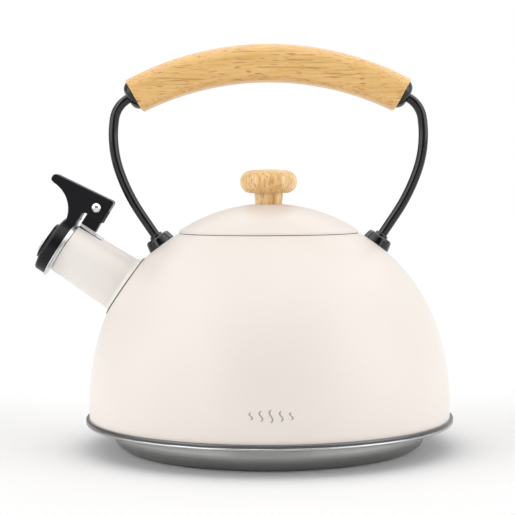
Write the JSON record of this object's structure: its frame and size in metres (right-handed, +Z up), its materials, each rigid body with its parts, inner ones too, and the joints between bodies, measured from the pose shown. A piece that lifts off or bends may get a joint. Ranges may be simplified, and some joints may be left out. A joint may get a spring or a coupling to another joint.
{
  "type": "stovetop whistling kettle",
  "caption": "Dome-shaped stovetop kettle with a short slanted spout, a sprung whistle cap with a finger lever, a lift-off lid and a bent wooden grip on two black rods.",
  "frame": {"origin": "centre of the flat underside, on the body's axis", "axes": "+Z up, spout towards -X, handle in the XZ plane, so +Y runs across the body"},
  "size_m": [0.2274, 0.2, 0.2183],
  "materials": {
    "painted_steel": "satin cream enamel paint",
    "bright_steel": "satin brushed stainless steel",
    "polished_steel": "polished",
    "aluminium": "plain",
    "black_plastic": "fine moulded texture",
    "black_gloss": "gloss",
    "black_rod": "gloss black paint",
    "beech": "clear satin lacquer",
    "grey_seal": "matte",
    "spring_steel": "plain drawn wire"
  },
  "bodies": {
    "body": {"body_dome": "painted_steel", "spout_tube": "painted_steel", "base_pan": "bright_steel", "base_cover": "bright_steel", "heat_spreader": "aluminium", "spout_seal_ring": "grey_seal", "spout_saddle": "bright_steel", "hinge_post": "black_plastic", "post_screw": "bright_steel", "hinge_pin": "polished_steel", "whistle_spring": "spring_steel", "handle_grip": "beech", "grip_cap_left": "black_gloss", "handle_rod_left": "black_rod", "handle_foot_left": "black_gloss", "handle_seal_left": "grey_seal", "handle_washer_left": "bright_steel", "handle_nut_left": "bright_steel", "grip_cap_right": "black_gloss", "handle_rod_right": "black_rod", "handle_foot_right": "black_gloss", "handle_seal_right": "grey_seal", "handle_washer_right": "bright_steel", "handle_nut_right": "bright_steel"},
    "whistle": {"whistle_lever": "black_plastic", "whistle_front_plate": "polished_steel", "whistle_rear_plate": "polished_steel", "whistle_rivet": "polished_steel"},
    "lid": {"lid_shell": "painted_steel", "lid_collar": "bright_steel", "lid_knob": "beech", "knob_washer": "grey_seal", "knob_screw": "bright_steel"}
  },
  "joints": [
    {"name": "whistle_hinge", "type": "hinge", "parent": "body", "child": "whistle", "pos_m": [-0.09327, 0, 0.1303], "axis": [0, 1, 0], "range_deg": [0, 45], "stiffness_Nm_per_rad": 0.06, "springref_deg": -20.05, "deforming": ["whistle_spring"]},
    {"name": "lid_lift", "type": "slide", "parent": "body", "child": "lid", "axis": [0, 0, 1], "range_m": [0, 0.045]}
  ]
}
